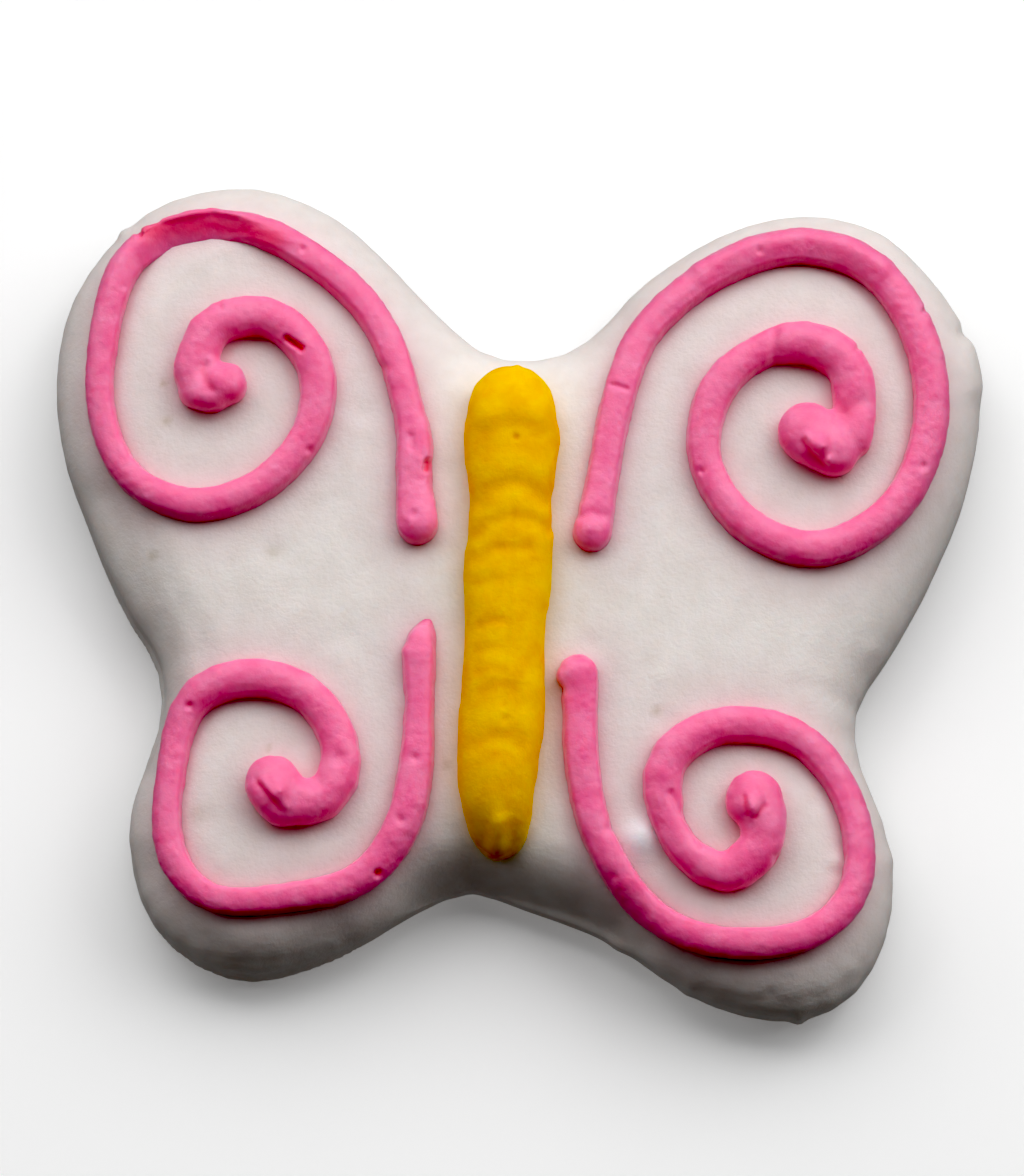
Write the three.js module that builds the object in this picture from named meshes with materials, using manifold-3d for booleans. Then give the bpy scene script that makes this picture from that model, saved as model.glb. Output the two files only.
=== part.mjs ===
// An iced sugar cookie in the shape of a butterfly, lying flat on its baked base.
// A baked biscuit is coated over its top and sides with white icing, and on the icing lie a
// thick piped body and four piped swirls, one to each wing.
// Units are millimetres. +Z is up, +X is towards the right wings and +Y towards the head.
// The plan below is drawn about the middle of the piped body, and the finished group is then
// moved so that its origin lies on the table, under the middle of the whole outline.
import * as THREE from "three";
import { mergeVertices } from "three/addons/utils/BufferGeometryUtils.js";
import Module from "manifold-3d";

// ---- Driving dimensions ----
const BISCUIT_HEIGHT = 6.6;
const BISCUIT_EDGE = 1.2; // rounding of the biscuit's top and bottom edges
const ICING_TOP = 10.6; // height of the top of the icing, away from its rounded edge
const ICING_CROWN = 0.5; // how much the middle of a wing stands above that
const ICING_WIDEST = 4.2; // height at which the coat bulges out furthest
const ICING_HEM = 0.7; // height of the coat's lower rim above the table
const ICING_WALL = 2.8; // thickness of the coat on the biscuit's side
const EDGE_WIDTH = 9.5; // how far in from the outline the top edge is rounded
const EDGE_FULLNESS = 2.2; // 2 is an ellipse, more is a fuller shoulder
const EDGE_INSETS = [2.6, 1.5, 0.7, 0.2]; // rings down the rounded top edge
const HEM_ROUND = 0.4; // how far above the rim the coat's inner wall starts
// Rings down the side below the widest place: how far in each runs, and its height.
const SIDE_RINGS = [
  [0.25, 2.7],
  [0.9, 1.5],
  [1.6, 0.85],
  [2.2, ICING_HEM],
];
const TOP_SHARES = [0.12, 0.26, 0.4, 0.54, 0.67, 0.79, 0.9, 1]; // rings over the top
const TOP_INSET = 4; // how far in from the outline the outermost ring of the top runs
const GAP = 0.3; // clearance between neighbouring pieces

const BEAD_HEIGHT_SHARE = 0.6; // height of a piped bead for each millimetre of its width
const BEAD_WIDEST_SHARE = 0.38; // how far up its height a bead is widest
const PEAK_RADIUS = 1.3; // of the foot of the point on a dollop
const PEAK_SUNK = 1.2; // how deep that foot reaches into the dollop
const BODY_HEIGHT = 4.2; // height of the piped body above the icing
const BODY_LEAN = 0.5; // share of the icing's slope that the stiff piped body follows
const GROOVE_DEPTH = 0.4;
const GROOVE_WIDTH = 0.9; // from a groove's bottom to where it has nearly levelled out
const GROOVE_BOW = 3; // how far each groove's ends trail behind its middle

// ---- Fineness of the faceting ----
const OUTLINE_STEPS = 112;
const FINE_OUTLINE_STEPS = 448;
const BEAD_SIDES = 12;
const BEAD_STEP = 2.2;
const PEAK_SIDES = 10;
const BODY_SIDES = 16;
const BODY_STEP = 1.25;
const CAP_RINGS = 3;
const MERGE_WITHIN = 1e-4; // vertices closer than this are one

// The butterfly's outline where the icing is widest, counterclockwise from the right waist.
const OUTLINE_POINTS = [
  [35, -11],
  [39.5, -3.5],
  [43.5, 4],
  [47, 12.5],
  [48.8, 23],
  [47.3, 30.5],
  [43.5, 36.5],
  [38.5, 41.3],
  [30.5, 43.2],
  [22, 41.2],
  [13.2, 35.5],
  [7.6, 29.5],
  [3.5, 27.3],
  [-3, 27.5],
  [-8.5, 32],
  [-14, 38],
  [-20, 43.2],
  [-28.5, 46.3],
  [-37.5, 44.8],
  [-43.3, 40.2],
  [-47.6, 33.2],
  [-49, 25],
  [-48, 16.5],
  [-45, 8],
  [-41.5, 0],
  [-38, -6],
  [-37.4, -11],
  [-39.5, -18.5],
  [-40.2, -26],
  [-38, -32.7],
  [-33.5, -37.2],
  [-27.5, -39.1],
  [-19, -36.8],
  [-10.5, -31.8],
  [-5, -29.7],
  [0, -31.3],
  [9.5, -35],
  [16.5, -39.8],
  [23, -42.4],
  [30, -42.7],
  [35.3, -39],
  [38.2, -32],
  [37.8, -24],
  [35.2, -16.5],
];

// Each swirl is one bead, from its tail beside the body to the dollop it ends in, inside the
// wing. Its route gives the plan position of the bead's middle and, third, its width there.
// The dollop is a short thick bead of its own, and its peak is the point left where the nozzle
// was pulled away: where the peak's foot stands, which way it leans and how tall it is.
const SWIRLS = [
  {
    name: "swirl_upper_left",
    route: [
      [-10.5, 7.3, 4.4],
      [-11, 10.8, 3.4],
      [-11, 14.6, 3.5],
      [-11.2, 18, 3.2],
      [-13.6, 27, 3.3],
      [-15.9, 31, 3.4],
      [-19, 34.3, 3.4],
      [-27.2, 39.4, 3.4],
      [-34.5, 39.8, 3.5],
      [-40.8, 36.7, 3.7],
      [-43.3, 29, 3.2],
      [-43.5, 19.4, 3],
      [-40.4, 12.6, 3.1],
      [-34, 9.4, 3.4],
      [-27, 11.3, 3.4],
      [-21.8, 17.3, 3.5],
      [-21.3, 24.6, 3.9],
      [-25.9, 29.6, 4.1],
      [-32, 28.6, 4.4],
      [-33.9, 23.8, 4.5],
    ],
    dollop: {
      height: 2.7,
      route: [
        [-33.6, 22.6, 4],
        [-32.6, 21.1, 4.2],
        [-31.1, 21.1, 4.3],
        [-30.4, 22.5, 4],
      ],
    },
    peak: { foot: [-31.4, 22.6], lean: [-0.2, 0.7], height: 1.3 },
  },
  {
    name: "swirl_upper_right",
    route: [
      [7.5, 6.3, 3.9],
      [8.5, 11.5, 3.3],
      [10.1, 20, 3.4],
      [12.9, 28, 3.6],
      [20.2, 34.7, 3.7],
      [29.4, 37.8, 3.8],
      [37.2, 35.2, 3.9],
      [42, 27.4, 3.8],
      [42.8, 18, 3.8],
      [39, 9.3, 3.7],
      [31, 4.6, 3.7],
      [23.5, 7.2, 3.6],
      [19.2, 14.5, 3.4],
      [20.7, 22.1, 3.8],
      [25.2, 26, 3.6],
      [29.9, 26.9, 4.5],
      [34.1, 24.6, 4.6],
      [34.9, 20.2, 4.5],
      [34.4, 16.6, 4.6],
    ],
    dollop: { height: 3.2, route: [[32.6, 14.9, 5.2], [30, 16.9, 6.6]] },
    peak: { foot: [31, 15.2], lean: [0.35, -0.9], height: 2.2 },
  },
  {
    name: "swirl_lower_left",
    route: [
      [-9.4, -3.2, 1.4],
      [-10.2, -5.6, 3.2],
      [-10.2, -12, 2.9],
      [-10.6, -19, 3.5],
      [-12.1, -25, 3.8],
      [-16.1, -29.8, 3.5],
      [-23, -31.7, 3],
      [-31.3, -31.7, 2.9],
      [-35.3, -27.3, 3.2],
      [-35.6, -19, 3.1],
      [-33.4, -11.2, 3.8],
      [-27.3, -9, 3.9],
      [-21.4, -11, 3.8],
      [-18.2, -16.5, 3.9],
      [-19.2, -21, 4.6],
      [-21.8, -22.3, 4.8],
    ],
    dollop: { height: 3.1, route: [[-23.9, -22.1, 5.4], [-25, -20.3, 5.9]] },
    peak: { foot: [-24.5, -21.2], lean: [0.5, -0.8], height: 2.2 },
  },
  {
    name: "swirl_lower_right",
    route: [
      [6, -8.7, 4.2],
      [6.2, -11.5, 3.5],
      [6.3, -17, 3.5],
      [7.8, -25, 3.3],
      [12.6, -32.6, 3.3],
      [18.7, -36, 3.3],
      [29.1, -35.6, 3.2],
      [34.1, -30.6, 3.3],
      [33.8, -22.4, 3.4],
      [28.9, -15.5, 3.5],
      [20.3, -14.1, 3.7],
      [14.9, -18, 4],
      [15.7, -25.3, 3.6],
      [20.6, -29.4, 4],
      [24.4, -27, 4.8],
    ],
    dollop: { height: 3.1, route: [[24.8, -25.2, 4.6], [24.4, -23, 5.4], [23.8, -21.9, 6]] },
    peak: { foot: [23.4, -22.8], lean: [0, -0.8], height: 2 },
  },
];

// The piped body from head to tail: plan position of its middle, and its width. The grooves
// are the places along it where one fold of icing ends against the next.
const BODY_ROUTE = [
  [-0.8, 20.4, 8.2],
  [-0.8, 17, 10.1],
  [-0.8, 13.8, 9.8],
  [-0.9, 9.7, 8.7],
  [-0.9, 6, 9],
  [-1.2, 1.2, 9.4],
  [-1.4, -4, 8.4],
  [-1.6, -9, 8.6],
  [-1.8, -13.8, 8.9],
  [-2.3, -20.2, 8],
  [-2.1, -25, 6.4],
];
const BODY_GROOVES = [17.3, 10.4, 7, 3.8, 0.2, -3.9, -7, -11.6, -16, -20];

const COLOURS = {
  biscuit: 0xc08a4c,
  icing: 0xf1ece6,
  pink: 0xee5f9b,
  yellow: 0xf6bd0c,
};

// ---- The coat's height over the plan ----

const outlineCurve = new THREE.CatmullRomCurve3(
  OUTLINE_POINTS.map(([x, y]) => new THREE.Vector3(x, y, 0)),
  true,
  "centripetal",
);
const fineOutline = outlineCurve.getSpacedPoints(FINE_OUTLINE_STEPS);

// Plan distance from a point to the outline.
function distanceToOutline(x, y) {
  let nearest = Infinity;
  for (let i = 0; i < FINE_OUTLINE_STEPS; i++) {
    const a = fineOutline[i];
    const b = fineOutline[i + 1];
    const along = ((x - a.x) * (b.x - a.x) + (y - a.y) * (b.y - a.y)) / a.distanceToSquared(b);
    const t = THREE.MathUtils.clamp(along, 0, 1);
    nearest = Math.min(nearest, Math.hypot(a.x + t * (b.x - a.x) - x, a.y + t * (b.y - a.y) - y));
  }
  return nearest;
}

// Height of the icing over a plan point: flat on top with a slight crown, rounded at the edge.
function icingHeight(x, y) {
  const inset = distanceToOutline(x, y);
  const shoulder = Math.max(0, 1 - inset / EDGE_WIDTH);
  const rounding = Math.pow(1 - Math.pow(shoulder, EDGE_FULLNESS), 1 / EDGE_FULLNESS);
  const crown = ICING_CROWN * THREE.MathUtils.smoothstep(inset, 0, 2 * EDGE_WIDTH);
  return ICING_WIDEST + (ICING_TOP - ICING_WIDEST) * rounding + crown;
}

// Direction straight out of the icing's surface at a plan point.
function icingNormal(x, y) {
  const reach = 0.5;
  const slopeX = (icingHeight(x + reach, y) - icingHeight(x - reach, y)) / (2 * reach);
  const slopeY = (icingHeight(x, y + reach) - icingHeight(x, y - reach)) / (2 * reach);
  return new THREE.Vector3(-slopeX, -slopeY, 1).normalize();
}

// ---- Closed surfaces from rings ----

// A closed surface through rings of points, each ring with the same count. A ring of one
// point closes an end. Seen along the run of the rings, each ring turns clockwise.
function closedSurface(rings) {
  const positions = [];
  const starts = [];
  for (const ring of rings) {
    starts.push(positions.length / 3);
    for (const p of ring) positions.push(p.x, p.y, p.z);
  }
  const index = [];
  for (let k = 0; k + 1 < rings.length; k++) {
    const sides = Math.max(rings[k].length, rings[k + 1].length);
    const near = (i) => starts[k] + (i % rings[k].length);
    const far = (i) => starts[k + 1] + (i % rings[k + 1].length);
    for (let i = 0; i < sides; i++) {
      if (rings[k + 1].length > 1) index.push(near(i), far(i), far(i + 1));
      if (rings[k].length > 1) index.push(near(i), far(i + 1), near(i + 1));
    }
  }
  const geometry = new THREE.BufferGeometry();
  geometry.setAttribute("position", new THREE.Float32BufferAttribute(positions, 3));
  geometry.setIndex(index);
  geometry.computeVertexNormals();
  return geometry;
}

// The outline moved inwards by a distance, as a ring at one height.
function insetRing(inset, height) {
  const ring = outlineCurve.getSpacedPoints(OUTLINE_STEPS).slice(0, OUTLINE_STEPS);
  return ring.map((point, i) => {
    const before = ring[(i + OUTLINE_STEPS - 2) % OUTLINE_STEPS];
    const after = ring[(i + 2) % OUTLINE_STEPS];
    const along = after.clone().sub(before).normalize();
    return new THREE.Vector3(point.x - inset * along.y, point.y + inset * along.x, height);
  });
}

// A ring drawn towards the middle of the plan to a share of its size.
function shrunkRing(ring, share) {
  return ring.map((p) => new THREE.Vector3(p.x * share, p.y * share, p.z));
}

// The same ring laid on the icing's surface.
function laidOnIcing(ring) {
  return ring.map((p) => new THREE.Vector3(p.x, p.y, icingHeight(p.x, p.y)));
}

// ---- The pieces ----

function icingGeometry() {
  const topRing = insetRing(TOP_INSET, 0);
  const ceiling = BISCUIT_HEIGHT + GAP;
  return closedSurface([
    laidOnIcing([new THREE.Vector3(0, 0, 0)]),
    ...TOP_SHARES.map((share) => laidOnIcing(shrunkRing(topRing, share))),
    ...EDGE_INSETS.map((inset) => laidOnIcing(insetRing(inset, 0))),
    insetRing(0, ICING_WIDEST),
    ...SIDE_RINGS.map(([inset, height]) => insetRing(inset, height)),
    insetRing(ICING_WALL, ICING_HEM + HEM_ROUND),
    insetRing(ICING_WALL, ceiling - BISCUIT_EDGE),
    insetRing(ICING_WALL + BISCUIT_EDGE, ceiling),
    [new THREE.Vector3(0, 0, ceiling)],
  ]);
}

function biscuitGeometry() {
  const side = ICING_WALL + GAP;
  const round = BISCUIT_EDGE * (1 - Math.SQRT1_2);
  return closedSurface([
    [new THREE.Vector3(0, 0, BISCUIT_HEIGHT)],
    insetRing(side + BISCUIT_EDGE, BISCUIT_HEIGHT),
    insetRing(side + round, BISCUIT_HEIGHT - round),
    insetRing(side, BISCUIT_HEIGHT - BISCUIT_EDGE),
    insetRing(side, BISCUIT_EDGE),
    insetRing(side + round, round),
    insetRing(side + BISCUIT_EDGE, 0),
    [new THREE.Vector3(0, 0, 0)],
  ]);
}

// Places along a piped route, from its round start to its round end. Each has its plan
// point, the direction of the route, the width of the piece and a share of it that closes
// the ends.
function pipedStations(route, step) {
  const curve = new THREE.CatmullRomCurve3(
    route.map(([x, y, width]) => new THREE.Vector3(x, y, width)),
    false,
    "centripetal",
  );
  const count = Math.round(curve.getLength() / step);
  const stations = [];
  const addStation = (t, beyond, share) => {
    const point = curve.getPointAt(t);
    const along = curve.getTangentAt(t).setZ(0).normalize();
    const place = point.clone().addScaledVector(along, beyond * point.z);
    stations.push({ x: place.x, y: place.y, width: point.z, along, share });
  };
  const quarter = Math.PI / 2;
  for (let k = CAP_RINGS; k > 0; k--) {
    const turn = (k / CAP_RINGS) * quarter;
    addStation(0, -0.5 * Math.sin(turn), k === CAP_RINGS ? 0 : Math.cos(turn));
  }
  for (let i = 0; i <= count; i++) addStation(i / count, 0, 1);
  for (let k = 1; k <= CAP_RINGS; k++) {
    const turn = (k / CAP_RINGS) * quarter;
    addStation(1, 0.5 * Math.sin(turn), k === CAP_RINGS ? 0 : Math.cos(turn));
  }
  return stations;
}

// Where a piped piece stands on the icing so that its middle lies over a plan point, and
// which way is up for it there. It follows the given share of the icing's slope.
function standingPlace(x, y, middleHeight, slopeShare) {
  const upright = new THREE.Vector3(0, 0, 1);
  const up = upright.clone();
  const foot = new THREE.Vector3();
  for (let pass = 0; pass < 3; pass++) {
    foot.set(x - up.x * middleHeight, y - up.y * middleHeight, 0);
    up.lerpVectors(upright, icingNormal(foot.x, foot.y), slopeShare).normalize();
  }
  foot.z = icingHeight(foot.x, foot.y);
  return { foot, up };
}

// One ring of a piped piece, standing on the icing with a flattened foot. heightAt gives the
// piece's height above the icing from the plan point and the share across its width.
function pipedRing(station, sides, slopeShare, heightAt) {
  const { x, y, width, along, share } = station;
  const middleHeight = GAP + BEAD_WIDEST_SHARE * heightAt(x, y, 0);
  const { foot, up } = standingPlace(x, y, middleHeight, slopeShare);
  const across = along.clone().cross(up).normalize();
  const closed = share === 0;
  const ring = [];
  for (let i = 0; i < (closed ? 1 : sides); i++) {
    const turn = (i / sides) * 2 * Math.PI;
    const side = closed ? 0 : Math.cos(turn) * share;
    const swell = closed ? 0 : Math.sin(turn) * share;
    const lift = Math.max(0, BEAD_WIDEST_SHARE + (1 - BEAD_WIDEST_SHARE) * swell);
    const point = foot.clone().addScaledVector(across, (side * width) / 2);
    point.addScaledVector(up, GAP + lift * heightAt(x, y, side));
    point.z = Math.max(point.z, icingHeight(point.x, point.y) + GAP);
    ring.push(point);
  }
  return ring;
}

// ---- Joining ----

const manifold = await Module();
manifold.setup();

function solidOf(geometry) {
  const bare = geometry.clone();
  bare.deleteAttribute("normal");
  bare.deleteAttribute("uv");
  const merged = mergeVertices(bare, MERGE_WITHIN);
  return new manifold.Manifold(
    new manifold.Mesh({
      numProp: 3,
      vertProperties: new Float32Array(merged.attributes.position.array),
      triVerts: new Uint32Array(merged.index.array),
    }),
  );
}

function fused(geometries) {
  const whole = geometries.map(solidOf).reduce((joined, solid) => joined.add(solid));
  const mesh = whole.getMesh();
  const geometry = new THREE.BufferGeometry();
  geometry.setAttribute("position", new THREE.BufferAttribute(mesh.vertProperties, 3));
  geometry.setIndex(new THREE.BufferAttribute(mesh.triVerts, 1));
  geometry.computeVertexNormals();
  return geometry;
}

// The point left by the nozzle, leaning over the top of a dollop.
function peakGeometry({ foot, lean, height }, dollopHeight) {
  const [x, y] = foot;
  const axis = new THREE.Vector3(lean[0], lean[1], 1).normalize();
  const cone = new THREE.ConeGeometry(PEAK_RADIUS, height + PEAK_SUNK, PEAK_SIDES);
  cone.translate(0, (height - PEAK_SUNK) / 2, 0);
  cone.applyQuaternion(new THREE.Quaternion().setFromUnitVectors(new THREE.Vector3(0, 1, 0), axis));
  cone.translate(x, y, icingHeight(x, y) + GAP + dollopHeight);
  return cone;
}

function swirlGeometry({ route, dollop, peak }) {
  const bead = pipedStations(route, BEAD_STEP).map((station) =>
    pipedRing(station, BEAD_SIDES, 1, () => BEAD_HEIGHT_SHARE * station.width),
  );
  const end = pipedStations(dollop.route, BEAD_STEP).map((station) =>
    pipedRing(station, BEAD_SIDES, 1, () => dollop.height),
  );
  return fused([closedSurface(bead), closedSurface(end), peakGeometry(peak, dollop.height)]);
}

// Height of the piped body: full between its grooves, each bowed towards the head.
function bodyHeight(x, y, side) {
  const bowed = y + GROOVE_BOW * side * side;
  const depth = BODY_GROOVES.map((groove) => Math.exp(-(((bowed - groove) / GROOVE_WIDTH) ** 2)));
  return BODY_HEIGHT - GROOVE_DEPTH * Math.max(...depth);
}

function bodyGeometry() {
  return closedSurface(
    pipedStations(BODY_ROUTE, BODY_STEP).map((station) =>
      pipedRing(station, BODY_SIDES, BODY_LEAN, bodyHeight),
    ),
  );
}

// ---- The cookie ----

function piece(name, geometry, color, roughness) {
  const material = new THREE.MeshStandardMaterial({ color, roughness, metalness: 0 });
  const mesh = new THREE.Mesh(geometry, material);
  mesh.name = name;
  return mesh;
}

const cookie = new THREE.Group();
cookie.add(piece("biscuit", biscuitGeometry(), COLOURS.biscuit, 0.9));
cookie.add(piece("icing", icingGeometry(), COLOURS.icing, 0.5));
cookie.add(piece("piped_body", bodyGeometry(), COLOURS.yellow, 0.5));
for (const swirl of SWIRLS) cookie.add(piece(swirl.name, swirlGeometry(swirl), COLOURS.pink, 0.6));

const middle = new THREE.Box3().setFromObject(cookie).getCenter(new THREE.Vector3());
cookie.position.set(-middle.x, -middle.y, 0);

export default cookie;
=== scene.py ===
"""An iced sugar cookie in the shape of a butterfly: white icing over a baked biscuit, a thick piped
yellow body and four piped pink swirls.

The frame is in metres. The meshes are shaped in millimetres, and MM turns them back into metres.
Marks and dents are placed by pixels of the photograph's frame and pressed into the surface that
carries them, along its own normals.
"""

import math
from itertools import product

import bpy
import numpy as np
from mathutils import Matrix, Vector
from mathutils.bvhtree import BVHTree


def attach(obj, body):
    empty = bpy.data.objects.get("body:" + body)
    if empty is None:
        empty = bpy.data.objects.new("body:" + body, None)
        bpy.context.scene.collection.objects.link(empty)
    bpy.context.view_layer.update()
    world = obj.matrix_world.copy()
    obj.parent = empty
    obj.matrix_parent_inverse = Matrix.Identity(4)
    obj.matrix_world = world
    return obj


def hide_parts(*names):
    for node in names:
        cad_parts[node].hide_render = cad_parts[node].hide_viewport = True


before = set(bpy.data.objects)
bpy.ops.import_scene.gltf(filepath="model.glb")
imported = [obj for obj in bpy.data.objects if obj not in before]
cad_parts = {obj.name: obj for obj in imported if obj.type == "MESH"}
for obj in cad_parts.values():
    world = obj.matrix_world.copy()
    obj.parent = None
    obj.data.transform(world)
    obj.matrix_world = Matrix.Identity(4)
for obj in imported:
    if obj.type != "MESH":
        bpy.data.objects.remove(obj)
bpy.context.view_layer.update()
MM = 0.001

# ---- The view ----
PHOTO_SIZE = (1024, 1176)  # pixels
PIXELS_PER_MM = 9.6  # at the aim
CAMERA_DISTANCE = 450.0
CAMERA_TILT = math.radians(15)  # from straight down, towards -Y
AIM = Vector((-0.649, 0.205, 6.0))
SENSOR = 36.0  # millimetres
LENS = SENSOR * CAMERA_DISTANCE / (PHOTO_SIZE[1] / PIXELS_PER_MM)
RIGHT = Vector((1, 0, 0))
BACK = Vector((0, -math.sin(CAMERA_TILT), math.cos(CAMERA_TILT)))
UP = Vector((0, math.cos(CAMERA_TILT), math.sin(CAMERA_TILT)))
EYE = AIM + BACK * CAMERA_DISTANCE
CLIP_RANGE = (0.01, 10)  # metres
BLACK_LEVEL = 0.07  # scene brightness that comes out black

# ---- Fineness of the meshes, in millimetres ----
ICING_VOXEL = 0.45
PIPED_VOXEL = 0.36  # while the facets are smoothed away, then halved
BODY_VOXEL = 0.6
MERGED_VOXEL = 0.17
BISCUIT_VOXEL = 0.6
PEAK_RINGS = 6
TURNS = [math.tau * i / 24 for i in range(24)]  # angles round a peak
WELD_GAP = 0.001

# ---- Smoothing: how many rounds, and shares of the way to the middle of the neighbours ----
ICING_ROUNDS = 12
PIPED_ROUNDS = 60
BODY_ROUNDS = 90
BISCUIT_ROUNDS = 15
MERGED_ROUNDS = 8
PRESSED_ROUNDS = 4
SLUMP_ROUNDS = 14
TAIL_ROUNDS = 20
PULL_IN = 0.63  # evens the surface out
PULL_OUT = -0.64  # swells it back
SOFTENING = 0.6  # rounds it off

# ---- Shaping, in millimetres; a pair of heights says where a change begins and is complete ----
FOOT_FLARE = 0.9  # how far the coat's foot is filled out below its widest place
FOOT_HEIGHTS = (0.8, 4.0)
NOTCH_REACH = 6.5  # how far in from the rim the top slopes down to the notch
NOTCH_DROP = 3.0  # how far down it is at the rim
NOTCH_SIDE = 5.0  # how far in from the notch's ends the slope is complete
NOTCH_HEIGHTS = (2.0, 8.0)
SUNK = 1.0  # how deep the piped pieces reach into the icing
SUNK_HEIGHTS = (0.5, 2.0)
CREST_DROP = 0.3  # how much their crests are flattened
CREST_HEIGHTS = (1.3, 2.3)
BEAD_FLARE = 0.35  # how much wider their feet are
FLARE_HEIGHTS = (0.3, 1.3)
SWELL = 0.05  # makes up for what smoothing took from them
TAIL_SLOPE = (-29.5, -20.0)  # where the body slopes down, along Y
TAIL_SHARE = 0.3  # how much of its height it loses there
TAIL_PULL = 1.3  # how far the top of its end leans back
TAIL_TOP_HEIGHTS = (0.3, 3.0)
TAIL_FOOT_HEIGHTS = (0.3, 2.0)
FOLD_HEIGHT = 2.2  # of the fold in the upper left bead, over the icing
FOLD_REACH = 2.9  # how far in front of the fold the bead slopes down to nothing
FOLD_ENDS = (-2.5, 3.5)  # how far in from the fold's ends the slope begins and is complete
FOLD_EDGE = (0, 0.6)  # and how far in front of it
PEAK_FULLNESS = 0.7  # 1 is a cone, less is fuller
OVER_ALL = 30.0  # a height over every crest

# ---- What counts as a side and as facing the eye: parts of a normal of length 1 ----
LEVEL_PART = (0.5, 0.9)
RISING_PART = (-0.9, -0.6)
LEAST_LEVEL_PART = 0.2
FACING_PART = (-0.35, 0.15)

# ---- Relief in layers, each the height of its lumps, their size and a seed ----
ICING_LUMPS = [(0.04, 4.0, 11), (0.015, 1.3, 12)]
BODY_LUMPS = [(0.03, 1.6, 3), (0.02, 0.7, 4)]
SWIRL_LUMPS = [(0.045, 1.4, 0), (0.035, 0.55, 4)]
SWIRL_LUMP_HEIGHTS = (0.2, 1.0)

# ---- Painted light: shares of its colour, and the heights that the painted shade at a foot ends between ----
CREASE_SHADE = 0.3
BODY_FOOT_SHADE = 0.12
BODY_FOOT_HEIGHTS = (0.2, 2.5)
NECK_PIT_SHADE = 0.6
NECK_PIT_WIDTH = 0.35
SWIRL_FOOT_SHADE = 0.6
SWIRL_FOOT_HEIGHTS = (0.1, 1.4)
BLISTER_HIGHLIGHT = 0.8
BLISTER_WIDTH = 2.0

# Colour that ran from the piped icing into the white, and the tinges, which are a tint with painted
# shade beside it: their share at the edge, how far they reach and the power by which they fade.
HALO_REACH = 7.0  # beyond which nothing runs
HALO_LUMPS = (0.2, 3.0, 13)
PINK_RUN = (0.35, 0.7, 1)
PINK_TINT_AND_SHADE = (0.3, 4.5, 2)
YELLOW_RUN = (0.25, 0.6, 1)
YELLOW_TINT_AND_SHADE = (0.06, 2.4, 2)
AWAY_FROM_BODY = (1.0, 7.0)  # the pink tint and its painted shade are bare next to the body and full away from it

# ---- Room, in millimetres ----
# Softboxes by their azimuth clockwise from +Y and elevation in degrees, size and power in watts.
SOFTBOXES = {
    "window": (5, 46, (1300, 800), 7.7),
    "right_window": (62, 36, (700, 600), 3.0),
    "left_window": (-60, 38, (700, 600), 2.0),
    "fill": (180, 18, (1200, 600), 0.4),
    "table_bounce": (0, -90, (3000, 3000), 4.5),
}
SOFTBOX_DISTANCE = 900
ROOM_BRIGHTNESS = 0.05
FLOOR_SIZE = 6000
FLOOR_COLOUR = (0.95, 0.95, 0.95, 1)
FLOOR_GLOW = 0.14

# ---- The rim of the notch between the lower wings, by photograph pixels ----
NOTCH = [
    (380, 922), (405, 908), (435, 896), (465, 889), (500, 891),
    (540, 900), (585, 913), (640, 941), (665, 955),
]

# ---- Marks: a path of photograph pixels, a width and a lift (or a dent) in millimetres ----
ICING_MARKS = {
    "blister": ([(642, 838)], 1.9, 0.85),
    "blister_top": ([(641, 830)], 0.9, 0.12),
    "small_bump": ([(836, 862)], 0.8, 0.25),
    "small_bump_foot": ([(834, 871), (841, 870)], 0.5, -0.15),
    "left_waist_slope": ([(110, 500), (135, 580), (152, 640), (152, 700), (140, 760)], 3.0, -0.7),
    "lower_left_slope": ([(150, 870), (185, 940), (235, 968), (285, 968), (335, 940)], 2.6, -0.6),
    "upper_left_dent": ([(272, 551)], 1.4, -0.18),
    "left_dent": ([(346, 638)], 1.6, -0.18),
    "dent_by_left_tail": ([(365, 414)], 1.2, -0.15),
    "lower_left_dent": ([(205, 820)], 1.3, -0.15),
    "dent_by_right_mouth": ([(659, 717)], 1.2, -0.14),
    "upper_bump": ([(661, 677)], 0.9, 0.14),
    "dent_by_start_lump": ([(592, 643)], 0.9, -0.14),
    "dent_above_right_turn": ([(647, 664)], 0.9, -0.12),
    "dent_over_right_turn": ([(792, 687)], 1.1, -0.14),
    "upper_left_tip": ([(121, 231)], 0.7, 0.45),
    "right_edge_lump": ([(972, 352), (977, 385)], 1.4, 0.45),
    "right_edge_nick": ([(964, 333)], 0.6, -0.3),
    "right_waist_lump": ([(893, 860)], 1.3, 0.3),
    "left_foot_crease": ([(192, 957), (225, 966), (262, 968), (300, 963), (330, 952)], 0.5, -0.08),
    "right_foot_step": ([(688, 992)], 0.9, 0.2),
    "right_foot_crease": ([(700, 990), (740, 1000), (790, 1003), (830, 994), (856, 980)], 0.6, -0.1),
    "right_foot": ([(705, 1000), (740, 1012), (790, 1014), (830, 1003), (858, 988)], 1.0, 0.1),
    "drip_tip": ([(798, 1019)], 0.6, 0.45),
    "tail_bump": ([(620, 943)], 1.3, 0.35),
    "low_dimple": ([(771, 994)], 0.6, -0.2),
    "light_mark": ([(853, 968)], 0.6, 0.12),
    "upper_light_mark": ([(870, 650)], 0.7, 0.12),
}
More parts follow.
